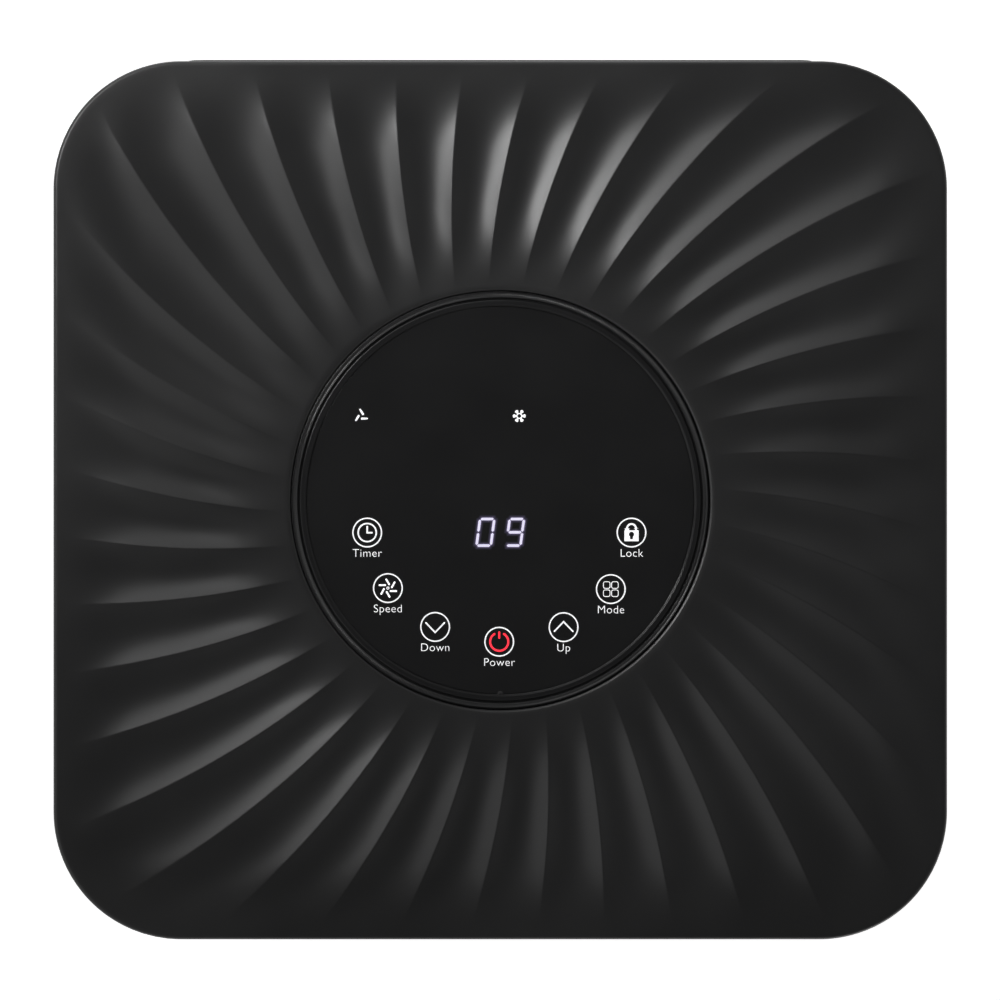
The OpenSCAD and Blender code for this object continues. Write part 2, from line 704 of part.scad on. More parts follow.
module refrigerant_pipes() {
    // Heights of the crossing runs, and the tubes of the coils that the lines join
    hot_z = 312;
    cold_z = 340;
    hot_x = -156;
    tops = [tube_z(condenser_z, coil_rows), tube_z(evaporator_z, coil_rows)];
    bottoms = [tube_z(condenser_z, 1), tube_z(evaporator_z, 1)];
    color(copper) {
        // Hot gas from the compressor to the condenser
        pipe_run([[compressor_xy[0], compressor_xy[1], 282.5], [compressor_xy[0], compressor_xy[1], hot_z],
            [hot_x, compressor_xy[1], hot_z], [hot_x, coil_tube_y, hot_z],
            [hot_x, coil_tube_y, tops[0]], [coil_end_x, coil_tube_y, tops[0]]], 4);
        // Liquid from the condenser up to the evaporator
        pipe_run([[coil_end_x, coil_tube_y, bottoms[0]], [liquid_xy[0], coil_tube_y, bottoms[0]],
            [liquid_xy[0], liquid_xy[1], bottoms[0]], [liquid_xy[0], liquid_xy[1], bottoms[1]],
            [liquid_xy[0], coil_tube_y, bottoms[1]], [coil_end_x, coil_tube_y, bottoms[1]]], 2.5);
        // Cold gas from the evaporator back to the accumulator
        pipe_run([[-22, compressor_xy[1], 250.5], [-22, compressor_xy[1], cold_z],
            [cold_xy[0], compressor_xy[1], cold_z], [cold_xy[0], cold_xy[1], cold_z],
            [cold_xy[0], cold_xy[1], tops[1]], [cold_xy[0], coil_tube_y, tops[1]], [coil_end_x, coil_tube_y, tops[1]]], 5);
    }
}

module electrics_box() {
    color(grey_plastic) {
        block([30, -150, 296], [140, -70, 404]);
        block([27, -153, 401], [143, -67, deck_z]);
        translate([85, -110, 250]) cylinder(r = 20, h = 46 + eps);
    }
}

// ---- Filters and grilles ----

module filter_frame(z) {
    color(soft_black) difference() {
        union() {
            block([-119, filter_y[0], z[0] + 5], [123, filter_y[1], z[1] - 5]);
            // Pull tab at the right-hand edge
            translate([123, filter_y[0], (z[0] + z[1]) / 2 - 14]) cube([6, filter_y[1] - filter_y[0], 28]);
        }
        for (x = [[-113, -3], [3, 113]]) block([x[0], filter_y[0] - 1, z[0] + 11], [x[1], filter_y[1] + 1, z[1] - 11]);
    }
}

module filter_mesh(z) {
    y = filter_y[0] + 1.4;
    color(grey_plastic) for (x = [[-113, -3], [3, 113]]) block([x[0], y, z[0] + 11], [x[1], y + 0.8, z[1] - 11]);
}

// Louvred grille over a filter slot that opens to the right
module intake_grille(z) {
    slat_pitch = 10;
    slats = floor((z[1] - z[0] - 16) / slat_pitch);
    color(charcoal) {
        difference() {
            rear_plate(grille_w, z, 6, filter_y[1] + 0.4, grille_y[1]);
            rear_plate(grille_w - 16, [z[0] + 8, z[1] - 8], 3, rear_y, grille_y[1] + 1);
        }
        for (s = [1:slats]) let (h = z[0] + 8 + (s - 0.5) * (z[1] - z[0] - 16) / slats)
            translate([-grille_w / 2 + 7, filter_y[1] + 0.5, h - 2]) cube([grille_w - 14, grille_y[1] - filter_y[1] - 0.6, 4]);
        for (x = [-70, 0, 70]) block([x - 2, filter_y[1] + 0.6, z[0] + 7], [x + 2, grille_y[1] - 0.2, z[1] - 7]);
        block([-grille_w / 2 + 6, rear_y, z[0]], [grille_w / 2 - 6, filter_y[1] + 0.5, z[0] + 4]);
        block([-grille_w / 2 + 6, rear_y, z[1] - 4], [grille_w / 2 - 6, filter_y[1] + 0.5, z[1]]);
        block([-grille_w / 2, rear_y, z[0] + 6], [-grille_w / 2 + 5, filter_y[1] + 0.5, z[1] - 6]);
    }
}

module upper_filter_frame() { filter_frame(upper_grille_z); }
module upper_filter_mesh() { filter_mesh(upper_grille_z); }
module upper_grille() { intake_grille(upper_grille_z); }
module lower_filter_frame() { filter_frame(lower_grille_z); }
module lower_filter_mesh() { filter_mesh(lower_grille_z); }
module lower_grille() { intake_grille(lower_grille_z); }

// ---- Cord gland and drains ----

module cord_gland() {
    color(soft_black) difference() {
        union() {
            y_cylinder(gland_xz, 8, rear_y - 8, rear_y + eps);
            y_cylinder(gland_xz, 11, rear_y, rear_y + 3);
            y_cylinder(gland_xz, 6.5, rear_y + 3 - eps, rear_y + 6);
        }
        y_cylinder(gland_xz, 4, rear_y - 9, rear_y + 7);
    }
}

module drain_ports() {
    color(soft_black) for (p = drain_xz) difference() {
        union() {
            y_cylinder(p, 8, rear_y - 14, rear_y + eps);
            y_cylinder(p, 11, rear_y, rear_y + 1.5);
        }
        y_cylinder(p, drain_bore_r, rear_y - 12, rear_y + 2);
    }
}

// Rubber plug, pushed into a drain port, with a tab to pull it by
module drain_plug(p) {
    color("dimgray") {
        y_cylinder(p, drain_bore_r - fit, rear_y - 8, rear_y + 2);
        y_cylinder(p, 8.5, rear_y + 1.8, rear_y + 4);
        block([p[0] - 1.2, rear_y + 3.9, p[1] - 6], [p[0] + 1.2, rear_y + 6.4, p[1] + 6]);
    }
}

module upper_drain_plug() { drain_plug(drain_xz[0]); }
module lower_drain_plug() { drain_plug(drain_xz[1]); }

// ---- Casters ----

module caster_fork(k) {
    arm_x = caster_wheel_w / 2 + 0.4;
    color(steel) translate([caster_xy[k - 1][0], caster_xy[k - 1][1], 0]) {
        translate([0, 0, 42]) cylinder(r = 14, h = 3.7);
        translate([0, 0, 45]) cylinder(r = stem_r, h = 17);
        translate([-arm_x - 2, -9, 40]) cube([2 * arm_x + 4, 9 + caster_trail + 2, 2 + eps]);
        for (side = [-1, 1]) translate([side * (arm_x + 1) - 1, 0, 0]) rotate([90, 0, 90]) linear_extrude(2) {
            polygon([[-9, 41], [caster_trail + 2, 41], [caster_trail + 6, caster_wheel_r],
                [caster_trail - 6, caster_wheel_r]]);
            translate([caster_trail, caster_wheel_r]) circle(r = 6);
        }
        x_cylinder([caster_trail, caster_wheel_r], axle_r, -arm_x - 3, arm_x + 3);
    }
}

module caster_wheel(k) {
    w = caster_wheel_w;
    color(gloss_black) translate([caster_xy[k - 1][0], caster_xy[k - 1][1] + caster_trail, caster_wheel_r])
        rotate([0, 90, 0]) rotate_extrude($fn = 96) polygon([[axle_r + fit, -w / 2], [8, -w / 2], [9, -w / 2 + 1.5],
            [13, -w / 2 + 1.5], [14, -w / 2], [caster_wheel_r - 1.5, -w / 2], [caster_wheel_r, -w / 2 + 1.5],
            [caster_wheel_r, w / 2 - 1.5], [caster_wheel_r - 1.5, w / 2], [14, w / 2], [13, w / 2 - 1.5],
            [9, w / 2 - 1.5], [8, w / 2], [axle_r + fit, w / 2]]);
}

top_cover();
trim_ring();
touch_glass();
display_module();
control_board();
panel_carrier();
top_frame();
front_shell();
rear_shell();
left_panel();
right_panel();
base_tray();
outlet_frame();
swing_blade(1);  // swing_blade_1
swing_blade(2);  // swing_blade_2
swing_blade(3);  // swing_blade_3
swing_link();
swing_motor();
vane(1);  // vane_1
vane(2);  // vane_2
vane(3);  // vane_3
vane(4);  // vane_4
vane(5);  // vane_5
vane(6);  // vane_6
vane_link();
outlet_duct();
upper_scroll();
upper_blower();
upper_motor();
evaporator();
divider_deck();
lower_scroll();
lower_blower();
lower_motor();
condenser();
exhaust_port();
compressor();
compressor_feet();
refrigerant_pipes();
electrics_box();
upper_filter_frame();
upper_filter_mesh();
lower_filter_frame();
lower_filter_mesh();
upper_grille();
lower_grille();
grip_cups();
cord_gland();
drain_ports();
upper_drain_plug();
lower_drain_plug();
casing_screws();
caster_fork(1);  // caster_fork_1
caster_fork(2);  // caster_fork_2
caster_fork(3);  // caster_fork_3
caster_fork(4);  // caster_fork_4
caster_wheel(1);  // caster_wheel_1
caster_wheel(2);  // caster_wheel_2
caster_wheel(3);  // caster_wheel_3
caster_wheel(4);  // caster_wheel_4
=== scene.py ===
"""Looks of a portable air conditioner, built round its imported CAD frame. Metres, +Z up, front at -Y."""
import json
import math
import bmesh
import bpy
import numpy as np
from mathutils import Matrix, Vector


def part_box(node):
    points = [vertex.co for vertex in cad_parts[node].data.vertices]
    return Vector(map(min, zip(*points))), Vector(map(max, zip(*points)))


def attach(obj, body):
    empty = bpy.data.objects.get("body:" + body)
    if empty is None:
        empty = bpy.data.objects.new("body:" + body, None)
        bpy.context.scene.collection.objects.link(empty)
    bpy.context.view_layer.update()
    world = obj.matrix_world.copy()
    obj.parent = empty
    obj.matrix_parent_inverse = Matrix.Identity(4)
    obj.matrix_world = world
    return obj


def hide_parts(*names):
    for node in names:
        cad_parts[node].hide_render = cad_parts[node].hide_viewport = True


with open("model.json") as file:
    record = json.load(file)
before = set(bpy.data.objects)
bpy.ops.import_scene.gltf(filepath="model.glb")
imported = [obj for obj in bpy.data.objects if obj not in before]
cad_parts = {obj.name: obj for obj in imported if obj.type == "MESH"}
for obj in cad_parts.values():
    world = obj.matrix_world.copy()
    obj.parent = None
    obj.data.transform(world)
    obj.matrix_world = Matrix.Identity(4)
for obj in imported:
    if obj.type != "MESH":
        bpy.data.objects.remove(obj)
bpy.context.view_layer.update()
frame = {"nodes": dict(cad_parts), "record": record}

MM = 0.001
CABINET = "cabinet"
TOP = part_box("top_cover")[1]
BOTTOM_OF_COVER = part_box("top_cover")[0][2]
HALF_W, HALF_D, HEIGHT = TOP[0], TOP[1], TOP[2]
CORNER_R = 50 * MM
GLASS_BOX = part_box("touch_glass")
GLASS_R = GLASS_BOX[1][0]
GLASS_Z = GLASS_BOX[1][2]


# ---- Materials ----

def new_material(name):
    mat = bpy.data.materials.new(name)
    mat.use_nodes = True
    nodes, links = mat.node_tree.nodes, mat.node_tree.links
    return mat, nodes, links, nodes["Principled BSDF"]


def object_coords(nodes, links, scale):
    coords = nodes.new("ShaderNodeTexCoord")
    mapping = nodes.new("ShaderNodeMapping")
    mapping.inputs["Scale"].default_value = scale if isinstance(scale, tuple) else (scale,) * 3
    links.new(coords.outputs["Object"], mapping.inputs["Vector"])
    return mapping.outputs["Vector"]


def noise(nodes, links, scale, detail=3.0, rough=0.55):
    tex = nodes.new("ShaderNodeTexNoise")
    tex.inputs["Scale"].default_value = 1.0
    tex.inputs["Detail"].default_value = detail
    tex.inputs["Roughness"].default_value = rough
    links.new(object_coords(nodes, links, scale), tex.inputs["Vector"])
    return tex.outputs["Fac"]


def remap(nodes, links, value, low, high, start=0.3, end=0.7):
    node = nodes.new("ShaderNodeMapRange")
    node.inputs["From Min"].default_value = start
    node.inputs["From Max"].default_value = end
    node.inputs["To Min"].default_value = low
    node.inputs["To Max"].default_value = high
    links.new(value, node.inputs["Value"])
    return node.outputs["Result"]


def two_colours(nodes, links, value, first, second, start=0.35, end=0.65):
    gradient = nodes.new("ShaderNodeValToRGB")
    gradient.color_ramp.elements[0].position = start
    gradient.color_ramp.elements[1].position = end
    gradient.color_ramp.elements[0].color = (*first, 1)
    gradient.color_ramp.elements[1].color = (*second, 1)
    links.new(value, gradient.inputs["Fac"])
    return gradient.outputs["Color"]


def bump(nodes, links, shader, height, distance):
    node = nodes.new("ShaderNodeBump")
    node.inputs["Strength"].default_value = 1.0
    node.inputs["Distance"].default_value = distance
    links.new(height, node.inputs["Height"])
    links.new(node.outputs["Normal"], shader.inputs["Normal"])


def plastic(name, colour, rough, grain, depth, spread=0.05):
    """Moulded plastic: fine grain, its depth in millimetres, and slow drifts in colour and gloss."""
    mat, nodes, links, shader = new_material(name)
    slow = noise(nodes, links, 14.0, 4.0)
    fine = noise(nodes, links, grain, 2.0, 0.6)
    lighter = tuple(c * 1.25 for c in colour)
    links.new(two_colours(nodes, links, slow, colour, lighter), shader.inputs["Base Color"])
    links.new(remap(nodes, links, slow, rough - spread, rough + spread), shader.inputs["Roughness"])
    bump(nodes, links, shader, fine, depth * MM)
    return mat


def metal(name, colour, rough, grain):
    """Plated or bare metal with fine drawn lines."""
    mat, nodes, links, shader = new_material(name)
    lines = noise(nodes, links, grain, 3.0)
    cloud = noise(nodes, links, 45.0, 4.0)
    darker = tuple(c * 0.8 for c in colour)
    links.new(two_colours(nodes, links, cloud, darker, colour), shader.inputs["Base Color"])
    links.new(remap(nodes, links, lines, rough - 0.08, rough + 0.1), shader.inputs["Roughness"])
    shader.inputs["Metallic"].default_value = 1.0
    bump(nodes, links, shader, lines, 0.01 * MM)
    return mat


def rubber():
    """Black rubber with fine pores and a little dust."""
    mat, nodes, links, shader = new_material("rubber")
    pores = noise(nodes, links, 900.0, 4.0, 0.7)
    dust = noise(nodes, links, 30.0, 5.0)
    clean, dusty = (0.012, 0.012, 0.0125), (0.0256, 0.0256, 0.0265)
    links.new(two_colours(nodes, links, dust, clean, dusty, 0.45, 0.75), shader.inputs["Base Color"])
    links.new(remap(nodes, links, dust, 0.67, 0.83), shader.inputs["Roughness"])
    bump(nodes, links, shader, pores, 0.03 * MM)
    return mat


def black_glass():
    """Back-printed glass: near-black, glossy, with the faintest film of fingerprints."""
    mat, nodes, links, shader = new_material("black_glass")
    film = noise(nodes, links, 38.0, 5.0, 0.6)
    links.new(two_colours(nodes, links, film, (0.0108, 0.0108, 0.0112), (0.0134, 0.0134, 0.0138)),
              shader.inputs["Base Color"])
    links.new(remap(nodes, links, film, 0.05, 0.11), shader.inputs["Roughness"])
    shader.inputs["IOR"].default_value = 1.5
    bump(nodes, links, shader, film, 0.002 * MM)
    return mat


def lit(name, colour, strength, glow_only=False):
    """A lit window in the black print, slightly uneven. A bloom only glows, over the glass's own colour."""
    mat, nodes, links, shader = new_material(name)
    uneven = noise(nodes, links, 420.0, 2.0)
    shade = tuple(c * 0.9 for c in colour)
    links.new(two_colours(nodes, links, uneven, shade, colour), shader.inputs["Emission Color"])
    shader.inputs["Emission Strength"].default_value = strength
    shader.inputs["Base Color"].default_value = (0.01, 0.01, 0.011, 1) if glow_only else (*colour, 1)
    rough = (0.06, 0.1) if glow_only else (0.35, 0.45)
    links.new(remap(nodes, links, uneven, *rough), shader.inputs["Roughness"])
    return mat


def circuit_board():
    """Green solder mask over copper traces."""
    mat, nodes, links, shader = new_material("circuit_board")
    traces = noise(nodes, links, 160.0, 1.0)
    links.new(two_colours(nodes, links, traces, (0.01, 0.09, 0.035), (0.03, 0.17, 0.07), 0.49, 0.51),
              shader.inputs["Base Color"])
    links.new(remap(nodes, links, traces, 0.25, 0.4), shader.inputs["Roughness"])
    bump(nodes, links, shader, traces, 0.03 * MM)
    return mat


def floor_material():
    mat, nodes, links, shader = new_material("studio_floor")
    soft = noise(nodes, links, 3.0, 3.0)
    white = two_colours(nodes, links, soft, (0.84, 0.84, 0.84), (0.86, 0.86, 0.86))
    links.new(white, shader.inputs["Base Color"])
    shader.inputs["Roughness"].default_value = 0.7
    shader.inputs["Specular IOR Level"].default_value = 0.2
    shader.inputs["Emission Color"].default_value = (1, 1, 1, 1)
    shader.inputs["Emission Strength"].default_value = 0.84
    return mat


# Colour, roughness, fineness of the grain, its depth in millimetres, and how far the gloss drifts
PLASTICS = {
    "cover_plastic": ((0.0155, 0.0155, 0.0158), 0.35, 1900, 0.012, 0.03),
    "shell_plastic": ((0.0085, 0.0085, 0.0088), 0.44, 1500, 0.03),
    "dark_plastic": ((0.006, 0.006, 0.0063), 0.46, 1300, 0.03),
    "trim_gloss": ((0.009, 0.009, 0.0095), 0.22, 800, 0.004, 0.04),
    "grey_plastic": ((0.14, 0.14, 0.145), 0.5, 1200, 0.03),
    "compressor_paint": ((0.012, 0.012, 0.012), 0.25, 300, 0.05),
    "mesh": ((0.03, 0.03, 0.032), 0.6, 2500, 0.02),
    "wheel_plastic": ((0.012, 0.012, 0.0125), 0.38, 700, 0.02),
}
# Colour, roughness, and the scale of the drawn lines along X, Y and Z
METALS = {
    "steel": ((0.62, 0.63, 0.65), 0.32, (60, 60, 900)),
    "black_steel": ((0.055, 0.055, 0.06), 0.36, (60, 60, 900)),
    "coil_fins": ((0.75, 0.77, 0.8), 0.3, (900, 60, 60)),
    "pipe_copper": ((0.72, 0.36, 0.21), 0.3, (60, 60, 900)),
}
MATS = {name: plastic(name, *values) for name, values in PLASTICS.items()}
MATS.update({name: metal(name, *values) for name, values in METALS.items()})
MATS.update({"glass_black": black_glass(), "rubber": rubber(), "board": circuit_board()})

for row in frame["record"]["subparts"]:
    node = frame["nodes"][row["node"]]
    node.data.materials.clear()
    node.data.materials.append(MATS[row["material_slot"]])
NODE_BODY = {node: body for body, nodes in frame["record"]["behaviour"]["bodies"].items() for node in nodes}
NODE_SLOT = {row["node"]: row["material_slot"] for row in frame["record"]["subparts"]}


# ---- Mesh helpers ----

# Angles between two faces, in degrees: up to the first they are one flat, past the second their edge is
# rounded, and up to the third they share a normal
FLAT_ANGLE, CORNER_ANGLE, SHARED_NORMAL_ANGLE = 0.6, 30.0, 38.0


def add_piece(name, mesh, material, body=CABINET, replaces=(), sharp=35.0):
    """A shown piece that rides on a body. Edges sharper than the given angle stay sharp."""
    mesh.validate()
    mesh.polygons.foreach_set("use_smooth", [True] * len(mesh.polygons))
    mesh.set_sharp_from_angle(angle=math.radians(sharp))
    obj = bpy.data.objects.new(name, mesh)
    bpy.context.scene.collection.objects.link(obj)
    mesh.materials.clear()
    mesh.materials.append(material)
    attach(obj, body)
    if replaces:
        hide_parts(*replaces)
    return obj


def mesh_from(name, verts, faces):
    mesh = bpy.data.meshes.new(name)
    mesh.from_pydata([tuple(map(float, v)) for v in verts], [], faces)
    return mesh


def joined(name, shapes):
    """One mesh out of several (verts, faces) shapes."""
    verts, faces = [], []
    for v, f in shapes:
        base = len(verts)
        verts += [tuple(map(float, p)) for p in v]
        faces += [tuple(i + base for i in face) for face in f]
    return mesh_from(name, verts, faces)


def ring_faces(rings, count, close=False):
    """Quads between neighbouring closed rings of equally many points."""
    faces = []
    for k in range(rings if close else rings - 1):
        a, b = k * count, (k + 1) % rings * count
        faces += [(a + i, a + (i + 1) % count, b + (i + 1) % count, b + i) for i in range(count)]
    return faces


def revolved(profile, count, close=True):
    """A profile of (radius, height) points turned round the Z axis."""
    verts = []
    for r, z in profile:
        for i in range(count):
            a = 2 * math.pi * i / count
            verts.append((r * math.cos(a), r * math.sin(a), z))
    return verts, ring_faces(len(profile), count, close)


def rounded_profile(points, radius, steps=4):
    """A closed outline with each corner rounded. radius is one number, or one for each corner."""
    out = []
    n = len(points)
    for i, p in enumerate(points):
        p = Vector(p)
        before, after = Vector(points[i - 1]) - p, Vector(points[(i + 1) % n]) - p
        r = radius if isinstance(radius, (int, float)) else radius[i]
        reach = min(r, before.length * 0.48, after.length * 0.48)
        if reach < 1e-7:
            out.append(tuple(p))
            continue
        a, b = p + before.normalized() * reach, p + after.normalized() * reach
        for k in range(steps + 1):
            t = k / steps
            out.append(tuple(a * (1 - t) ** 2 + p * 2 * t * (1 - t) + b * t ** 2))
    return out


def prism(outline, low, high):
    """A flat outline of (x, y) points, given thickness from one height to another."""
    n = len(outline)
    verts = [(x, y, z) for z in (low, high) for x, y in outline]
    faces = [tuple(range(n)), tuple(range(2 * n - 1, n - 1, -1))]
    faces += [(i, i + n, (i + 1) % n + n, (i + 1) % n) for i in range(n)]
    return verts, faces


def box_shape(low, high):
    (x0, y0, z0), (x1, y1, z1) = low, high
    return prism([(x0, y0), (x1, y0), (x1, y1), (x0, y1)], z0, z1)


def tidy_normals(mesh):
    bm = bmesh.new()
    bm.from_mesh(mesh)
    bmesh.ops.recalc_face_normals(bm, faces=bm.faces)
    bm.to_mesh(mesh)
    bm.free()
    return mesh


def flat_faces_stay_flat(mesh):
    """Corner normals weighted by face area, so that the narrow rounds don't bend the light on the flats."""
    limit = math.cos(math.radians(SHARED_NORMAL_ANGLE))
    around = [[] for _ in mesh.vertices]
    for face in mesh.polygons:
        for v in face.vertices:
            around[v].append((face.normal.copy(), face.area))
    normals = []
    for face in mesh.polygons:
        for v in face.vertices:
            total = Vector()
            for normal, area in around[v]:
                if normal.dot(face.normal) > limit:
                    total += normal * area
            normals.append(total.normalized() if total.length > 1e-12 else face.normal.copy())
    mesh.normals_split_custom_set(normals)


def refined(node, width, segments=2, material=None):
    """A copy of a CAD node with real rounds on its edges, which takes the node's place."""
    bm = bmesh.new()
    bm.from_mesh(frame["nodes"][node].data)
    bmesh.ops.remove_doubles(bm, verts=bm.verts, dist=0.002 * MM)
    bmesh.ops.dissolve_limit(bm, angle_limit=math.radians(FLAT_ANGLE), verts=bm.verts, edges=bm.edges)
    corner = math.radians(CORNER_ANGLE)
    edges = [e for e in bm.edges if len(e.link_faces) == 2 and e.calc_face_angle(0) > corner]
    bmesh.ops.bevel(bm, geom=edges, offset=width, segments=segments, profile=0.5, affect="EDGES",
                    clamp_overlap=True)
    bmesh.ops.recalc_face_normals(bm, faces=bm.faces)
    mesh = bpy.data.meshes.new(node + "_look")
    bm.to_mesh(mesh)
    bm.free()
    slot = NODE_SLOT[node]
    piece = add_piece(node + "_look", mesh, material or MATS[slot], NODE_BODY[node], [node], 180.0)
    flat_faces_stay_flat(mesh)
    return piece


# ---- Top cover: spiral flutes that meet at crisp ridges ----

FLUTES = 40
FLUTE_DEPTH = 2.6 * MM
FLUTE_RISE = 1.0 * MM  # height of the ridges over the level rim
FLAT_Z = HEIGHT - FLUTE_RISE
FLUTE_TWIST = math.radians(0.0843) / MM  # turn for each unit of length outwards
FLUTE_PHASE = math.radians(3.24)
FADE_IN = (83 * MM, 122 * MM)  # distances from the middle between which the flutes grow to full depth
FADE_OUT = (4 * MM, 34 * MM)  # distances from the outer edge between which they do the same
# Mesh lines across one flute, as fractions of its width, closest together at the ridge
RIDGE_SAMPLES = [0, 0.02, 0.055, 0.1, 0.16, 0.24, 0.33, 0.43, 0.54, 0.65, 0.75, 0.83, 0.9, 0.945, 0.98]
COVER_RINGS = 84
EDGE_ROUND = 1.5 * MM
LIP_ROUND = 0.4 * MM  # round on the lower edge
COVER_WALL = 3 * MM
COVER_T = 5 * MM
HOLE_R = 82.4 * MM
# Bevelled edge of the hole, from its lower edge up: radius, and height over the level rim, in millimetres
HOLE_EDGE = [(82.15, -5), (82.15, -0.7), (82.22, -0.45), (82.32, -0.36), (82.9, -0.08), (83.15, 0)]


def smooth(t):
    t = np.clip(t, 0, 1)
    return t * t * (3 - 2 * t)


def outline_radius(angle, half_w, half_d, r):
    """Distance from the middle to a rounded rectangle's edge, in each direction."""
    c, s = np.abs(np.cos(angle)), np.abs(np.sin(angle))
    cx, cy = half_w - r, half_d - r
    side, end = half_w / np.maximum(c, 1e-9), half_d / np.maximum(s, 1e-9)
    b = cx * c + cy * s
    arc = b + np.sqrt(np.maximum(0, b * b - cx * cx - cy * cy + r * r))
    return np.where(side * s <= cy, side, np.where(end * c <= cx, end, arc))


def edge_distance(x, y):
    """Distance inwards from the cover's outer edge."""
    qx, qy = np.abs(x) - HALF_W + CORNER_R, np.abs(y) - HALF_D + CORNER_R
    return CORNER_R - np.hypot(np.maximum(qx, 0), np.maximum(qy, 0)) - np.minimum(np.maximum(qx, qy), 0)


def flute_angles(phase, t):
    """Directions of the samples on the ring that is fraction t of the way out: they follow the flutes."""
    angle = phase.copy()
    for _ in range(12):
        reach = t * (outline_radius(angle, HALF_W, HALF_D, CORNER_R) - HOLE_R)
        angle = 0.5 * (angle + phase - FLUTE_TWIST * reach)
    return angle


def ramp(value, span):
    return smooth((value - span[0]) / (span[1] - span[0]))


def ring_of_points(angle, radius, z):
    return np.stack([radius * np.cos(angle), radius * np.sin(angle), np.broadcast_to(z, angle.shape)], 1)


def rim_ring(angle, inset, z):
    """Points at one height, inset from the cover's outer edge."""
    radius = outline_radius(angle, HALF_W - inset, HALF_D - inset, CORNER_R - inset)
    return ring_of_points(angle, radius, z)


def top_cover():
    """Closed rings of points: up the hole's edge, out over the flutes, round the rim, and back underneath."""
    steps = [(flute, sample) for flute in range(FLUTES) for sample in RIDGE_SAMPLES]
    phase = np.array([FLUTE_PHASE + 2 * math.pi * (flute + sample) / FLUTES for flute, sample in steps])
    wave = np.array([math.sin(math.pi * sample) for _, sample in steps])
    hole = flute_angles(phase, 0.0)
    rings = [ring_of_points(hole, r * MM, FLAT_Z + h * MM) for r, h in HOLE_EDGE]
    for t in np.linspace(0, 1, COVER_RINGS)[2:]:
        angle = flute_angles(phase, t)
        r = HOLE_R + t * (outline_radius(angle, HALF_W, HALF_D, CORNER_R) - HOLE_R)
        inwards = edge_distance(r * np.cos(angle), r * np.sin(angle))
        if inwards.min() >= EDGE_ROUND:
            fade = ramp(r, FADE_IN) * ramp(inwards, FADE_OUT)
            rings.append(ring_of_points(angle, r, FLAT_Z + fade * (FLUTE_RISE - FLUTE_DEPTH * wave)))
    rim = flute_angles(phase, 1.0)
    for a in np.radians(np.linspace(90, 0, 8)):
        rings.append(rim_ring(rim, EDGE_ROUND * (1 - math.cos(a)), FLAT_Z - EDGE_ROUND * (1 - math.sin(a))))
    rings.append(rim_ring(rim, 0, BOTTOM_OF_COVER + LIP_ROUND))
    rings.append(rim_ring(rim, 0.3 * LIP_ROUND, BOTTOM_OF_COVER + 0.3 * LIP_ROUND))
    rings.append(rim_ring(rim, LIP_ROUND, BOTTOM_OF_COVER))
    rings.append(rim_ring(rim, COVER_WALL, BOTTOM_OF_COVER))
    rings.append(rim_ring(rim, COVER_WALL, FLAT_Z - COVER_T))
    faces = ring_faces(len(rings), len(phase), close=True)
    mesh = tidy_normals(mesh_from("top_cover_look", np.concatenate(rings), faces))
    return add_piece("top_cover_look", mesh, MATS["cover_plastic"], replaces=["top_cover"], sharp=60.0)


top_cover()


# ---- Touch panel ----

ROUND_COUNT = 256  # sides of the ring and the glass
TRACK_R = 80.35  # middle of the ring's outer band, in millimetres
TRACK_HALF = 0.72
TRACK_DEPTH = 0.34
BAND_TOP = 0.1  # height of both bands over the cover's level rim, in millimetres
RIBS = 640
RIB_HEIGHT = 0.058


def ribbed_track():
    """A fine ribbed strip that runs round in the outer band of the trim ring."""
    half, floor, root = TRACK_HALF * 0.6, BAND_TOP - TRACK_DEPTH, -0.4
    count = 4 * RIBS
    across = [(-half, 0.02), (-half / 2, 0.045), (half / 2, 0.045), (half, 0.02), (half, root), (-half, root)]
    verts = []
    for r, h in across:
        for i in range(count):
            a = 2 * math.pi * i / count
            lift = RIB_HEIGHT * math.sin(a * RIBS) if h > root else 0
            radius, z = (TRACK_R + r) * MM, FLAT_Z + (floor + h + lift) * MM
            verts.append((radius * math.cos(a), radius * math.sin(a), z))
    return verts, ring_faces(len(across), count, close=True)


def locating_tab():
    """A small wedge between the ring and the glass, at the front."""
    foot = rounded_profile([(-1.3, -76.4), (1.3, -76.4), (0.9, -74.7), (-0.9, -74.7)], 0.4)
    verts, faces = prism([(x * MM, y * MM) for x, y in foot], GLASS_Z - 0.1 * MM, GLASS_Z + 0.5 * MM)
    crest = (-0.1 * MM, -75.9 * MM)
    for k in range(len(foot), 2 * len(foot)):
        x, y, z = verts[k]
        verts[k] = (crest[0] + 0.2 * (x - crest[0]), crest[1] + 0.5 * (y - crest[1]), z)
    return verts, faces


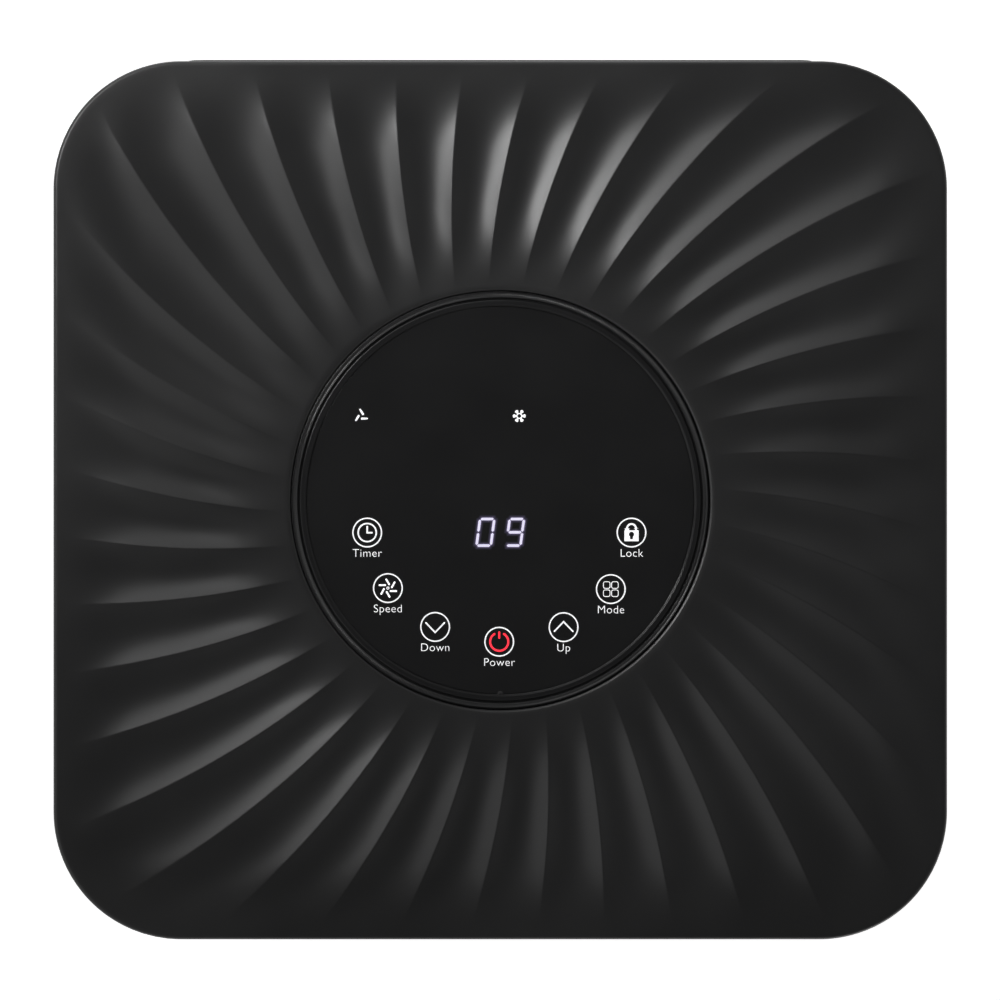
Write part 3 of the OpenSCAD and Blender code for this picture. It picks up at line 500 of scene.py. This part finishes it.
def trim_ring():
    """Two bands with a groove between them: the inner one is level, the outer one is hollowed for ribs."""
    foot, groove, ledge, glass_seat = -21.5, -1.3, -0.8, -4.2
    # Outline as (radius, height over the level rim, size of the round), in millimetres
    outer = [(73, foot, 0.3), (81.9, foot, 0.3), (81.9, -1.1, 0.2), (81.5, -1.1, 0.15),
             (81.3, BAND_TOP, 0.03)]
    hollow = [(TRACK_R - TRACK_HALF * t, BAND_TOP - TRACK_DEPTH * (1 - t * t), 0.05)
              for t in np.linspace(-1, 1, 9)]
    inner = [(79.42, BAND_TOP, 0.1), (79.3, groove, 0.15), (78.6, groove, 0.15), (78.4, BAND_TOP, 0.3),
             (76.5, BAND_TOP, 0.3), (76.3, ledge, 0.15), (76, ledge - 0.05, 0.1), (76, glass_seat, 0.1),
             (73, glass_seat, 0.3)]
    rows = outer + hollow + inner
    outline = rounded_profile([(r, h) for r, h, _ in rows], [size for _, _, size in rows])
    profile = [(r * MM, FLAT_Z + h * MM) for r, h in outline]
    shapes = [revolved(profile, ROUND_COUNT), ribbed_track(), locating_tab()]
    mesh = tidy_normals(joined("trim_ring_look", shapes))
    return add_piece("trim_ring_look", mesh, MATS["trim_gloss"], replaces=["trim_ring"], sharp=30.0)


def touch_glass():
    """A disc with a small round on its upper edge. Its profile starts just off the axis, at a tiny cap."""
    edge, cap = 0.25 * MM, 0.4 * MM
    low = GLASS_BOX[0][2]
    profile = [(cap, low), (GLASS_R - edge, low), (GLASS_R, low + edge), (GLASS_R, GLASS_Z - edge)]
    for k in range(1, 6):
        a = math.pi / 2 * k / 5
        profile.append((GLASS_R - edge + edge * math.cos(a), GLASS_Z - edge + edge * math.sin(a)))
    profile += [(GLASS_R * 0.6, GLASS_Z), (cap, GLASS_Z)]
    verts, faces = revolved(profile, ROUND_COUNT, close=False)
    faces += [tuple(range(ROUND_COUNT - 1, -1, -1)), tuple(range(len(verts) - ROUND_COUNT, len(verts)))]
    mesh = tidy_normals(mesh_from("touch_glass_look", verts, faces))
    return add_piece("touch_glass_look", mesh, MATS["glass_black"], replaces=["touch_glass"])


trim_ring()
touch_glass()


# ---- Symbols on the glass, drawn in millimetres from the middle of the panel ----

INK_LOW = GLASS_Z - 0.02 * MM
INK_HIGH = GLASS_Z + 0.05 * MM
STROKE = 0.52
KEY_RING_R = 5.6
KEYS = {"Timer": (-52.1, -12.65), "Speed": (-44.0, -34.4), "Down": (-25.5, -49.6), "Power": (-0.4, -55.4),
        "Up": (24.8, -49.7), "Mode": (43.3, -34.8), "Lock": (51.4, -12.65)}
LABEL_DROP = 9.5
LABEL_SIZE = 4.5


def ribbon(points, width, closed=False, round_ends=True):
    """A pen stroke of a given width along points."""
    pts = [Vector(p) for p in points]
    n = len(pts)
    left, right = [], []
    for i, p in enumerate(pts):
        before = pts[i - 1] if (closed or i > 0) else None
        after = pts[(i + 1) % n] if (closed or i < n - 1) else None
        d0 = (p - before).normalized() if before is not None else (after - p).normalized()
        d1 = (after - p).normalized() if after is not None else d0
        normal = (Vector((-d0.y, d0.x)) + Vector((-d1.y, d1.x))).normalized()
        stretch = 1 / max(0.35, normal.dot(Vector((-d1.y, d1.x))))
        left.append(p + normal * width / 2 * stretch)
        right.append(p - normal * width / 2 * stretch)
    verts, faces = [], []
    for z in (INK_LOW, INK_HIGH):
        verts += [(q.x * MM, q.y * MM, z) for q in left] + [(q.x * MM, q.y * MM, z) for q in right]
    for i in range(n if closed else n - 1):
        j = (i + 1) % n
        a, b, c, d = i, j, n + j, n + i
        faces += [(a, b, c, d), (2 * n + d, 2 * n + c, 2 * n + b, 2 * n + a), (a, 2 * n + a, 2 * n + b, b),
                  (d, c, 2 * n + c, 2 * n + d)]
    if not closed:
        for i in (0, n - 1):
            faces.append((i, n + i, 3 * n + i, 2 * n + i))
    shapes = [(verts, faces)]
    if round_ends and not closed:
        shapes += [disc(pts[0], width / 2), disc(pts[-1], width / 2)]
    return shapes


def disc(centre, r):
    return ink(circle_points(centre, r, count=20))


def ink(outline, top=INK_HIGH):
    """A printed or lit patch on the glass."""
    return prism([(x * MM, y * MM) for x, y in outline], INK_LOW, top)


def circle_points(centre, r, start=0.0, end=360.0, count=64):
    """Points round a circle, or along an arc with both its ends, from one angle in degrees to another."""
    span = range(count) if end - start >= 360 else range(count + 1)
    return [(centre[0] + r * math.cos(math.radians(start + (end - start) * i / count)),
             centre[1] + r * math.sin(math.radians(start + (end - start) * i / count))) for i in span]


def shifted(points, x, y):
    return [(px + x, py + y) for px, py in points]


def rounded_square(x, y, size, r):
    h = size / 2
    return rounded_profile([(x - h, y - h), (x + h, y - h), (x + h, y + h), (x - h, y + h)], r)


def timer_icon(x, y):
    """A clock face with two hands."""
    return (ribbon(circle_points((x, y), 3.55), 0.62, closed=True)
            + ribbon(shifted([(0, 2.6), (0, -0.05), (2.1, -0.05)], x, y), 0.66, round_ends=False))


def speed_icon(x, y):
    """Six slanted fan blades round a small hub."""
    shapes = []
    for k in range(6):
        a = math.radians(32 + 60 * k)
        cx, cy = x + 2.45 * math.cos(a), y + 2.45 * math.sin(a)
        d = a + math.radians(29)
        dx, dy = 1.1 * math.cos(d), 1.1 * math.sin(d)
        shapes += ribbon([(cx - dx, cy - dy), (cx + dx, cy + dy)], 0.72)
    return shapes + ribbon(circle_points((x, y), 0.45, count=24), 0.35, closed=True)


def down_icon(x, y):
    return ribbon(shifted([(-3.6, 1.6), (0, -2.15), (3.6, 1.6)], x, y), 0.6)


def up_icon(x, y):
    return ribbon(shifted([(-3.6, -1.6), (0, 2.15), (3.6, -1.6)], x, y), 0.6)


def power_icon(x, y):
    return (ribbon(circle_points((x, y), 3.55, 122, 418, 56), 0.8)
            + ribbon(shifted([(0, 3.7), (0, 1.5)], x, y), 0.75))


def mode_icon(x, y):
    """Four outlined squares."""
    shapes = []
    for dx in (-1.6, 1.6):
        for dy in (-1.6, 1.6):
            shapes += ribbon(rounded_square(x + dx, y + dy, 2.6, 0.8), 0.3, closed=True)
    return shapes


def lock_icon(x, y):
    """A padlock: a bow, and two halves of a body that leave the keyhole open."""
    shapes = ribbon(shifted([(-1.75, 0.6), (-1.75, 1.6)] + circle_points((0, 1.6), 1.75, 180, 0, 24)
                            + [(1.75, 1.6), (1.75, 0.6)], x, y), 0.75, round_ends=False)
    hole = [(0, 0.2)] + circle_points((0, -0.7), 1.0, 90, -50, 10) + [(0.48, -2.6), (0, -2.6)]
    for side in (-1, 1):
        half = [(0, 0.9), (2.8, 0.9), (2.8, -3.4), (0, -3.4), (0, -2.6)] + hole[::-1][1:]
        shapes.append(ink(shifted([(side * px, py) for px, py in half], x, y)))
    return shapes


def fan_sign(x, y):
    """Three tapered blades."""
    shapes = []
    for a, b in (((0.7, 0.45), (-0.75, 2.8)), ((-0.98, 0.32), (-2.4, -1.95)), ((-0.25, -1.0), (2.5, -1.0))):
        root, tip = Vector(a), Vector(b)
        across = Vector((root.y - tip.y, tip.x - root.x)).normalized() * 0.42
        middle = (root + tip) / 2
        blade = [root - across, root + across, middle + across, tip + across * 0.6, tip - across * 0.6,
                 middle - across]
        shapes.append(ink(shifted(rounded_profile([tuple(p) for p in blade], 0.22), x, y)))
    return shapes


def snow_sign(x, y):
    """Six petals round a ring."""
    shapes = ribbon(circle_points((x, y), 0.95, count=24), 0.42, closed=True)
    petal = [(0.9, -0.24), (1.3, -0.28), (1.65, -0.58), (2.1, -0.72), (2.42, -0.52), (2.58, 0), (2.42, 0.52),
             (2.1, 0.72), (1.65, 0.58), (1.3, 0.28), (0.9, 0.24)]
    for k in range(6):
        c, s = math.cos(math.radians(60 * k)), math.sin(math.radians(60 * k))
        shapes.append(ink([(x + c * px - s * py, y + s * px + c * py) for px, py in petal]))
    return shapes


DIGIT_W, DIGIT_H, SEGMENT_W = 5.6, 10.4, 1.0
SLANT = math.tan(math.radians(7.5))
# Both ends of each bar, on a grid of 2 columns and 3 rows
SEGMENTS = {"a": ((0, 2), (1, 2)), "b": ((1, 2), (1, 1)), "c": ((1, 1), (1, 0)), "d": ((0, 0), (1, 0)),
            "e": ((0, 1), (0, 0)), "f": ((0, 2), (0, 1)), "g": ((0, 1), (1, 1))}
DIGITS_Y = -12.55
DIGITS = {-5.8: "abcdef", 5.8: "abcdfg"}
ICONS = {"Timer": timer_icon, "Speed": speed_icon, "Down": down_icon, "Up": up_icon, "Mode": mode_icon,
         "Lock": lock_icon}


def segment(x, y, letter, grow=0.0, drop=0.0):
    """One bar of a slanted seven-segment digit, with pointed ends. grow widens it, for its bloom."""
    (c0, r0), (c1, r1) = SEGMENTS[letter]
    p = Vector(((c0 - 0.5) * DIGIT_W, (r0 - 1) * DIGIT_H / 2))
    q = Vector(((c1 - 0.5) * DIGIT_W, (r1 - 1) * DIGIT_H / 2))
    d = (q - p).normalized()
    n = Vector((-d.y, d.x)) * (SEGMENT_W / 2 + grow)
    gap, tip = 0.2 - grow, SEGMENT_W / 2
    outline = [p + d * gap, p + d * (gap + tip) + n, q - d * (gap + tip) + n, q - d * gap,
               q - d * (gap + tip) - n, p + d * (gap + tip) - n]
    return ink([(x + v.x + v.y * SLANT, y + v.y) for v in outline], INK_HIGH - drop * MM)


def white_symbols(white):
    """The rings round the keys, the symbols in six of them, and both status signs, as one piece."""
    shapes = []
    for name, (x, y) in KEYS.items():
        shapes += ribbon(circle_points((x, y), KEY_RING_R, count=72), STROKE, closed=True)
        if name in ICONS:
            shapes += ICONS[name](x, y)
    shapes += fan_sign(-54.3, 33.0) + snow_sign(7.45, 33.0)
    add_piece("key_symbols", tidy_normals(joined("key_symbols", shapes)), white)


def power_symbol():
    mesh = joined("power_symbol", power_icon(*KEYS["Power"]))
    red = lit("key_light_red", (0.9, 0.035, 0.06), 0.85)
    add_piece("power_symbol", tidy_normals(mesh), red)


def digits(piece, grow, drop, colour, strength):
    """Both digits, or a bloom of them that is wider by grow and lower by drop."""
    bars = [segment(x, DIGITS_Y, bar, grow, drop) for x, bars in DIGITS.items() for bar in bars]
    lamp = lit(piece + "_light", colour, strength, glow_only=grow > 0)
    add_piece(piece, tidy_normals(joined(piece, bars)), lamp)


def label(name, white):
    """The name of a key, in Blender's own font, turned into a mesh."""
    curve = bpy.data.curves.new("label_" + name, "FONT")
    curve.body = name
    curve.size = LABEL_SIZE * MM
    curve.align_x = "CENTER"
    curve.space_character = 1.06
    curve.offset = -0.05 * MM
    curve.extrude = 0.03 * MM
    curve.resolution_u = 6
    text = bpy.data.objects.new("text_" + name, curve)
    bpy.context.scene.collection.objects.link(text)
    bpy.context.view_layer.update()
    mesh = bpy.data.meshes.new_from_object(text.evaluated_get(bpy.context.evaluated_depsgraph_get()))
    x, y = KEYS[name]
    mesh.transform(Matrix.Translation((x * MM, (y - LABEL_DROP) * MM, GLASS_Z + 0.015 * MM)))
    bpy.data.objects.remove(text)
    mesh.name = "label_" + name
    add_piece("label_" + name, mesh, white)


key_white = lit("key_light_white", (0.86, 0.86, 0.87), 0.6)
white_symbols(key_white)
power_symbol()
digits("digits", 0.0, 0.0, (0.78, 0.74, 0.93), 0.42)
digits("digit_bloom_inner", 0.35, 0.015, (0.5, 0.42, 0.75), 0.2)
digits("digit_bloom_outer", 0.9, 0.03, (0.45, 0.4, 0.7), 0.05)
for name in KEYS:
    label(name, key_white)


# ---- Casing and everything else that shows: CAD shapes with real rounds on their edges ----

for node in ("front_shell", "rear_shell", "left_panel", "right_panel", "base_tray"):
    refined(node, 0.8 * MM, 3)
for node in ("outlet_frame", "grip_cups", "exhaust_port"):
    refined(node, 0.6 * MM, 3)
for node in ("upper_grille", "lower_grille", "cord_gland", "drain_ports", "upper_drain_plug",
             "lower_drain_plug", "upper_filter_frame", "lower_filter_frame", "swing_link", "vane_link"):
    refined(node, 0.3 * MM)
refined("casing_screws", 0.3 * MM, material=MATS["black_steel"])
for k in range(1, 4):
    refined(f"swing_blade_{k}", 0.3 * MM)
for k in range(1, 7):
    refined(f"vane_{k}", 0.25 * MM)
for k in range(1, 5):
    refined(f"caster_fork_{k}", 0.3 * MM)
    refined(f"caster_wheel_{k}", 0.4 * MM)


def seam_lips():
    """Inner lips behind the four upright joints of the casing: they close the joints to the eye."""
    (x0, y0, z0), (_, y1, z1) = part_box("right_panel")
    t, lap, gap, clear = 1.2 * MM, 3 * MM, 0.6 * MM, 0.05 * MM
    shapes = []
    for side in (-1, 1):
        low, high = sorted((side * (x0 - t), side * (x0 - clear)))
        for start, end in ((y0 - gap - lap, y0 + lap), (y1 - lap, y1 + gap + lap)):
            shapes.append(box_shape((low, start, z0), (high, end, z1)))
    mesh = tidy_normals(joined("seam_lips", shapes))
    return add_piece("seam_lips", mesh, MATS["dark_plastic"], sharp=30.0)


seam_lips()


# ---- Woven filters and finned coils ----

def thread(start, end, r, count=6):
    """A straight round thread from start to end, along X or Z."""
    along_x = abs(end[0] - start[0]) > abs(end[2] - start[2])
    verts = []
    for p in (start, end):
        for i in range(count):
            a = 2 * math.pi * i / count
            u, v = r * math.cos(a), r * math.sin(a)
            verts.append((p[0], p[1] + u, p[2] + v) if along_x else (p[0] + v, p[1] + u, p[2]))
    sides = [(i, (i + 1) % count, (i + 1) % count + count, i + count) for i in range(count)]
    return verts, sides + [tuple(range(count)), tuple(range(2 * count - 1, count - 1, -1))]


def woven_filter(node):
    """Two panes of netting, one each side of the frame's middle bar: upright threads lie over level ones."""
    (x0, y0, z0), (x1, y1, z1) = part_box(node)
    rib = 3 * MM
    r, hem_r, pitch, middle = 0.21 * MM, 0.4 * MM, 1.7 * MM, (y0 + y1) / 2
    front, back = middle - 0.17 * MM, middle + 0.17 * MM
    shapes = []
    for left, right in ((x0, -rib), (rib, x1)):
        columns, rows = round((right - left) / pitch), round((z1 - z0) / pitch)
        for k in range(1, columns):
            x = left + (right - left) * k / columns
            shapes.append(thread((x, back, z0), (x, back, z1), r))
        for k in range(1, rows):
            z = z0 + (z1 - z0) * k / rows
            shapes.append(thread((left, front, z), (right, front, z), r))
        for a, b in (((left, z0), (right, z0)), ((left, z1), (right, z1)), ((left, z0), (left, z1)),
                     ((right, z0), (right, z1))):
            shapes.append(thread((a[0], middle, a[1]), (b[0], middle, b[1]), hem_r, 8))
    mesh = tidy_normals(joined(node + "_look", shapes))
    return add_piece(node + "_look", mesh, MATS["mesh"], NODE_BODY[node], [node], 40.0)


def coil_fins(node):
    """Thin upright plates that stand out of both faces of a coil."""
    (_, y0, z0), (_, y1, z1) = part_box(node)
    half_length, proud, t, count = 107 * MM, 0.6 * MM, 0.2 * MM, 119
    front, back = y0 + 4 * MM - proud, y1 - 2 * MM + proud
    low, high = z0 + 2 * MM, z1 - 2 * MM
    shapes = []
    for k in range(count):
        x = -half_length + 2 * half_length * (k + 0.5) / count
        shapes.append(box_shape((x - t / 2, front, low), (x + t / 2, back, high)))
    mesh = tidy_normals(joined(node + "_fins", shapes))
    return add_piece(node + "_fins", mesh, MATS["coil_fins"], sharp=30.0)


for place in ("upper", "lower"):
    woven_filter(f"{place}_filter_mesh")
for node in ("evaporator", "condenser"):
    coil_fins(node)


# ---- Studio: pale floor, soft light, camera straight above ----

def stage():
    """A wide round floor just under the wheels, so that its far edge looks level from every side."""
    reach, low, sides = 45, -0.5 * MM, 96
    rim = [(x, y, low) for x, y in circle_points((0, 0), reach, count=sides)]
    mesh = mesh_from("floor", rim, [tuple(range(sides))])
    floor = bpy.data.objects.new("floor", mesh)
    bpy.context.scene.collection.objects.link(floor)
    mesh.materials.append(floor_material())


def softbox(name, place, target, size, power, spread=180):
    light = bpy.data.lights.new(name, "AREA")
    light.spread = math.radians(spread)
    light.shape = "RECTANGLE"
    light.size, light.size_y = size
    light.energy = power
    obj = bpy.data.objects.new(name, light)
    bpy.context.scene.collection.objects.link(obj)
    obj.location = place
    obj.rotation_euler = (Vector(target) - Vector(place)).to_track_quat("-Z", "Y").to_euler()


def camera():
    """Straight above the cover, which fills most of the width of the picture."""
    distance, filled, sensor, off_centre = 2.5, 0.8945, 36, 0.1 * MM
    cam = bpy.data.cameras.new("camera")
    cam.sensor_width = sensor
    cam.lens = sensor * distance * filled / (2 * HALF_W)
    cam.clip_end = 50
    obj = bpy.data.objects.new("camera", cam)
    bpy.context.scene.collection.objects.link(obj)
    obj.location = (-off_centre, off_centre, HEIGHT + distance)
    bpy.context.scene.camera = obj


stage()
camera()
# Three lights from the left of the picture shape the flutes
softbox("key_light", (-0.464, 0.33, HEIGHT + 0.584), (0.05, 0.16, HEIGHT), (0.25, 0.25), 0.37, spread=52)
softbox("fill_light", (-0.45, 0.95, HEIGHT + 1.2), (0, 0, HEIGHT), (0.7, 0.7), 3.2)
softbox("left_light", (-1.05, -0.5, HEIGHT + 1.25), (0, 0, HEIGHT), (1.1, 1.1), 2.5)
# Two lights for the casing, lower than the cover, so that they don't shine in the glass
softbox("front_light", (0.9, -2.6, 0.36), (0, 0, 0.36), (1.6, 0.6), 12)
softbox("back_light", (-0.6, 2.8, 0.36), (0, 0, 0.36), (1.4, 0.6), 10)


def studio_world(zenith, horizon, below):
    """Soft grey light from all round, dimmer overhead, as under a high dark ceiling."""
    world = bpy.data.worlds.new("studio")
    world.use_nodes = True
    nodes, links = world.node_tree.nodes, world.node_tree.links
    coords = nodes.new("ShaderNodeTexCoord")
    split = nodes.new("ShaderNodeSeparateXYZ")
    links.new(coords.outputs["Generated"], split.inputs["Vector"])
    gradient = nodes.new("ShaderNodeValToRGB")
    height = remap(nodes, links, split.outputs["Z"], 0.0, 1.0, -1.0, 1.0)
    links.new(height, gradient.inputs["Fac"])
    stops = gradient.color_ramp.elements
    stops[0].position, stops[0].color = 0.45, (below, below, below, 1)
    stops[1].position, stops[1].color = 0.92, (zenith, zenith, zenith, 1)
    middle_stop = stops.new(0.56)
    middle_stop.color = (horizon, horizon, horizon, 1)
    links.new(gradient.outputs["Color"], nodes["Background"].inputs["Color"])
    nodes["Background"].inputs["Strength"].default_value = 1.0
    bpy.context.scene.world = world


studio_world(0.08, 0.65, 0.7)
bpy.context.scene.view_settings.view_transform = "Standard"

bpy.context.view_layer.update()
